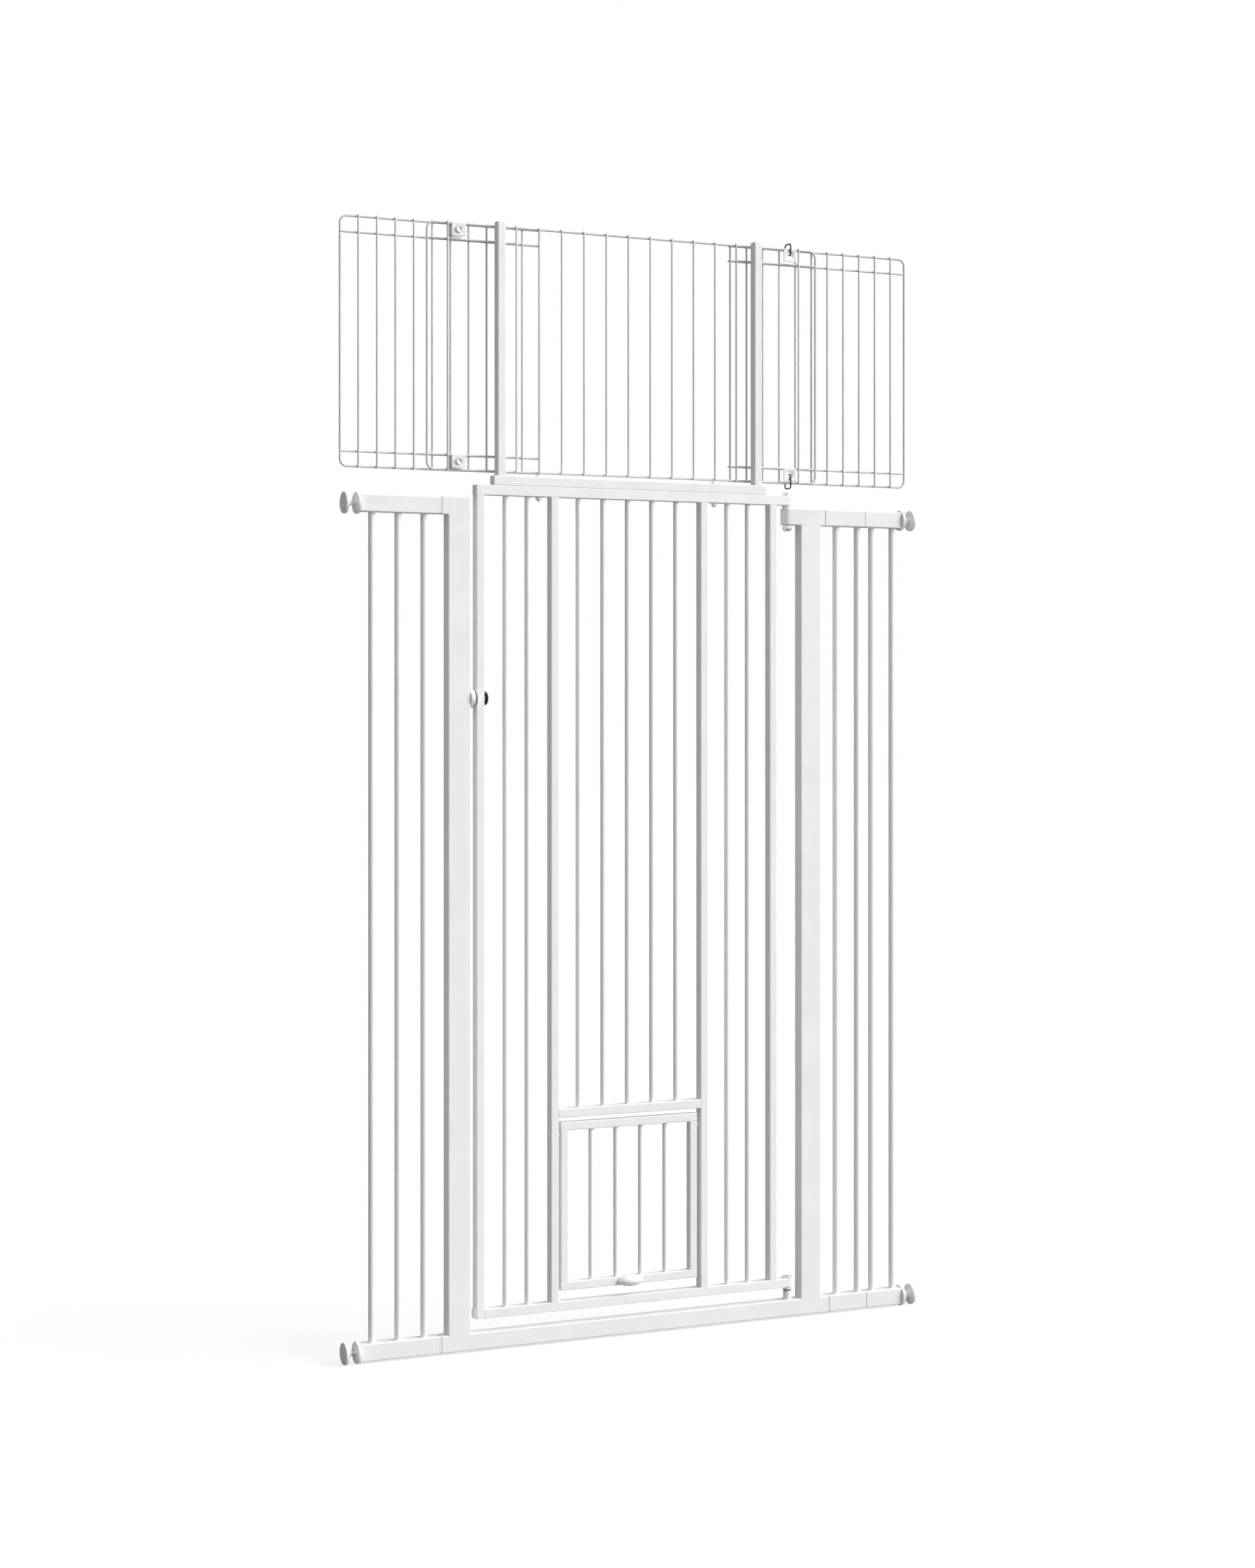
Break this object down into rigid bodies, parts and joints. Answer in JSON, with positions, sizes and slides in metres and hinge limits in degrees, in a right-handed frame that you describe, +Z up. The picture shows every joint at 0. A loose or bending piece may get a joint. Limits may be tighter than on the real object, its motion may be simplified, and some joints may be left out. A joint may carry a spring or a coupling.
{
  "type": "pet gate",
  "caption": "Tall pressure-mounted metal pet gate with a hinged walk-through door, a swinging cat flap, side extensions and a wire topper.",
  "frame": {"origin": "centre of the bottom rail's underside, midway between the two walls", "axes": "+X along the gate from the latch side to the hinge side, +Y through the doorway away from the side with the cat door's pull, +Z up"},
  "size_m": [1.142, 0.056, 2.0011],
  "materials": {
    "white_powder_coat": "satin white powder coat over welded steel tube and wire",
    "white_plastic": "moulded white plastic, fine matt",
    "pad_rubber": "off-white non-marking rubber",
    "zinc_steel": "bright zinc-plated steel",
    "black_plastic": "black moulded plastic, soft gloss",
    "black_wire": "black coated bent wire"
  },
  "bodies": {
    "frame": {"frame_left_upright": "white_powder_coat", "frame_right_upright": "white_powder_coat", "frame_bottom_rail": "white_powder_coat", "frame_left_stub": "white_powder_coat", "frame_hinge_arm": "white_powder_coat", "frame_end_plugs": "white_plastic", "frame_hinge_bushes": "white_plastic", "latch_keeper": "white_plastic", "joint_collars": "white_plastic", "left_extension_top_rail": "white_powder_coat", "left_extension_bottom_rail": "white_powder_coat", "left_extension_bars": "white_powder_coat", "right_extension_top_rails": "white_powder_coat", "right_extension_bottom_rails": "white_powder_coat", "right_extension_bars": "white_powder_coat"},
    "door": {"door_left_stile": "white_powder_coat", "door_right_stile": "white_powder_coat", "door_left_mullion": "white_powder_coat", "door_right_mullion": "white_powder_coat", "door_cross_rail": "white_powder_coat", "door_top_rail": "white_powder_coat", "door_bottom_rail": "white_powder_coat", "door_left_bars": "white_powder_coat", "door_right_bars": "white_powder_coat", "door_centre_bars": "white_powder_coat", "door_caps": "white_plastic", "hinge_bolts": "zinc_steel", "hinge_washers": "white_plastic", "latch_housing": "white_plastic", "cat_pivot_bolts": "white_powder_coat", "topper_base_rail": "white_powder_coat", "topper_left_post": "white_powder_coat", "topper_right_post": "white_powder_coat", "topper_bolts": "zinc_steel", "centre_wire_panel": "white_powder_coat", "clamp_plates": "white_powder_coat", "clamp_hooks": "black_wire"},
    "latch": {"latch_bolt": "zinc_steel", "latch_knob": "black_plastic"},
    "cat_door": {"cat_door_left_stile": "white_powder_coat", "cat_door_right_stile": "white_powder_coat", "cat_door_top_rail": "white_powder_coat", "cat_door_bottom_rail": "white_powder_coat", "cat_door_bars": "white_powder_coat", "cat_door_bushes": "white_plastic", "cat_door_pull": "white_plastic"},
    "left_panel": {"left_wire_panel": "white_powder_coat"},
    "right_panel": {"right_wire_panel": "white_powder_coat"},
    "nut_top_left": {"hand_nut_top_left": "white_plastic"},
    "mount_top_left": {"tension_rod_top_left": "zinc_steel", "wall_pad_top_left": "pad_rubber"},
    "nut_top_right": {"hand_nut_top_right": "white_plastic"},
    "mount_top_right": {"tension_rod_top_right": "zinc_steel", "wall_pad_top_right": "pad_rubber"},
    "nut_bottom_left": {"hand_nut_bottom_left": "white_plastic"},
    "mount_bottom_left": {"tension_rod_bottom_left": "zinc_steel", "wall_pad_bottom_left": "pad_rubber"},
    "nut_bottom_right": {"hand_nut_bottom_right": "white_plastic"},
    "mount_bottom_right": {"tension_rod_bottom_right": "zinc_steel", "wall_pad_bottom_right": "pad_rubber"}
  },
  "joints": [
    {"name": "door_swing", "type": "hinge", "parent": "frame", "child": "door", "pos_m": [0.302, 0, 0.03], "axis": [0, 0, 1], "range_deg": [-90, 90]},
    {"name": "cat_door_swing", "type": "hinge", "parent": "door", "child": "cat_door", "pos_m": [-0.026, 0, 0.366], "axis": [1, 0, 0], "range_deg": [-80, 80]},
    {"name": "latch_slide", "type": "slide", "parent": "door", "child": "latch", "axis": [-1, 0, 0], "range_m": [0, 0.0035]},
    {"name": "left_panel_slide", "type": "slide", "parent": "door", "child": "left_panel", "axis": [1, 0, 0], "range_m": [-0.015, 0.006]},
    {"name": "right_panel_slide", "type": "slide", "parent": "door", "child": "right_panel", "axis": [1, 0, 0], "range_m": [-0.15, 0.015]},
    {"name": "nut_turn_top_left", "type": "hinge", "parent": "frame", "child": "nut_top_left", "pos_m": [-0.5456, 0, 1.485], "axis": [-1, 0, 0], "range_deg": [-1441, 4321]},
    {"name": "rod_slide_top_left", "type": "slide", "parent": "frame", "child": "mount_top_left", "axis": [-1, 0, 0], "range_m": [-0.005, 0.015]},
    {"name": "nut_turn_top_right", "type": "hinge", "parent": "frame", "child": "nut_top_right", "pos_m": [0.5456, 0, 1.485], "axis": [1, 0, 0], "range_deg": [-1441, 4321]},
    {"name": "rod_slide_top_right", "type": "slide", "parent": "frame", "child": "mount_top_right", "axis": [1, 0, 0], "range_m": [-0.005, 0.015]},
    {"name": "nut_turn_bottom_left", "type": "hinge", "parent": "frame", "child": "nut_bottom_left", "pos_m": [-0.5456, 0, 0.015], "axis": [-1, 0, 0], "range_deg": [-1441, 4321]},
    {"name": "rod_slide_bottom_left", "type": "slide", "parent": "frame", "child": "mount_bottom_left", "axis": [-1, 0, 0], "range_m": [-0.005, 0.015]},
    {"name": "nut_turn_bottom_right", "type": "hinge", "parent": "frame", "child": "nut_bottom_right", "pos_m": [0.5456, 0, 0.015], "axis": [1, 0, 0], "range_deg": [-1441, 4321]},
    {"name": "rod_slide_bottom_right", "type": "slide", "parent": "frame", "child": "mount_bottom_right", "axis": [1, 0, 0], "range_m": [-0.005, 0.015]}
  ],
  "couplings": [
    {"joint": "nut_turn_top_left", "follows": "rod_slide_top_left", "rad_per_m": 5026.5},
    {"joint": "nut_turn_top_right", "follows": "rod_slide_top_right", "rad_per_m": 5026.5},
    {"joint": "nut_turn_bottom_left", "follows": "rod_slide_bottom_left", "rad_per_m": 5026.5},
    {"joint": "nut_turn_bottom_right", "follows": "rod_slide_bottom_right", "rad_per_m": 5026.5}
  ]
}
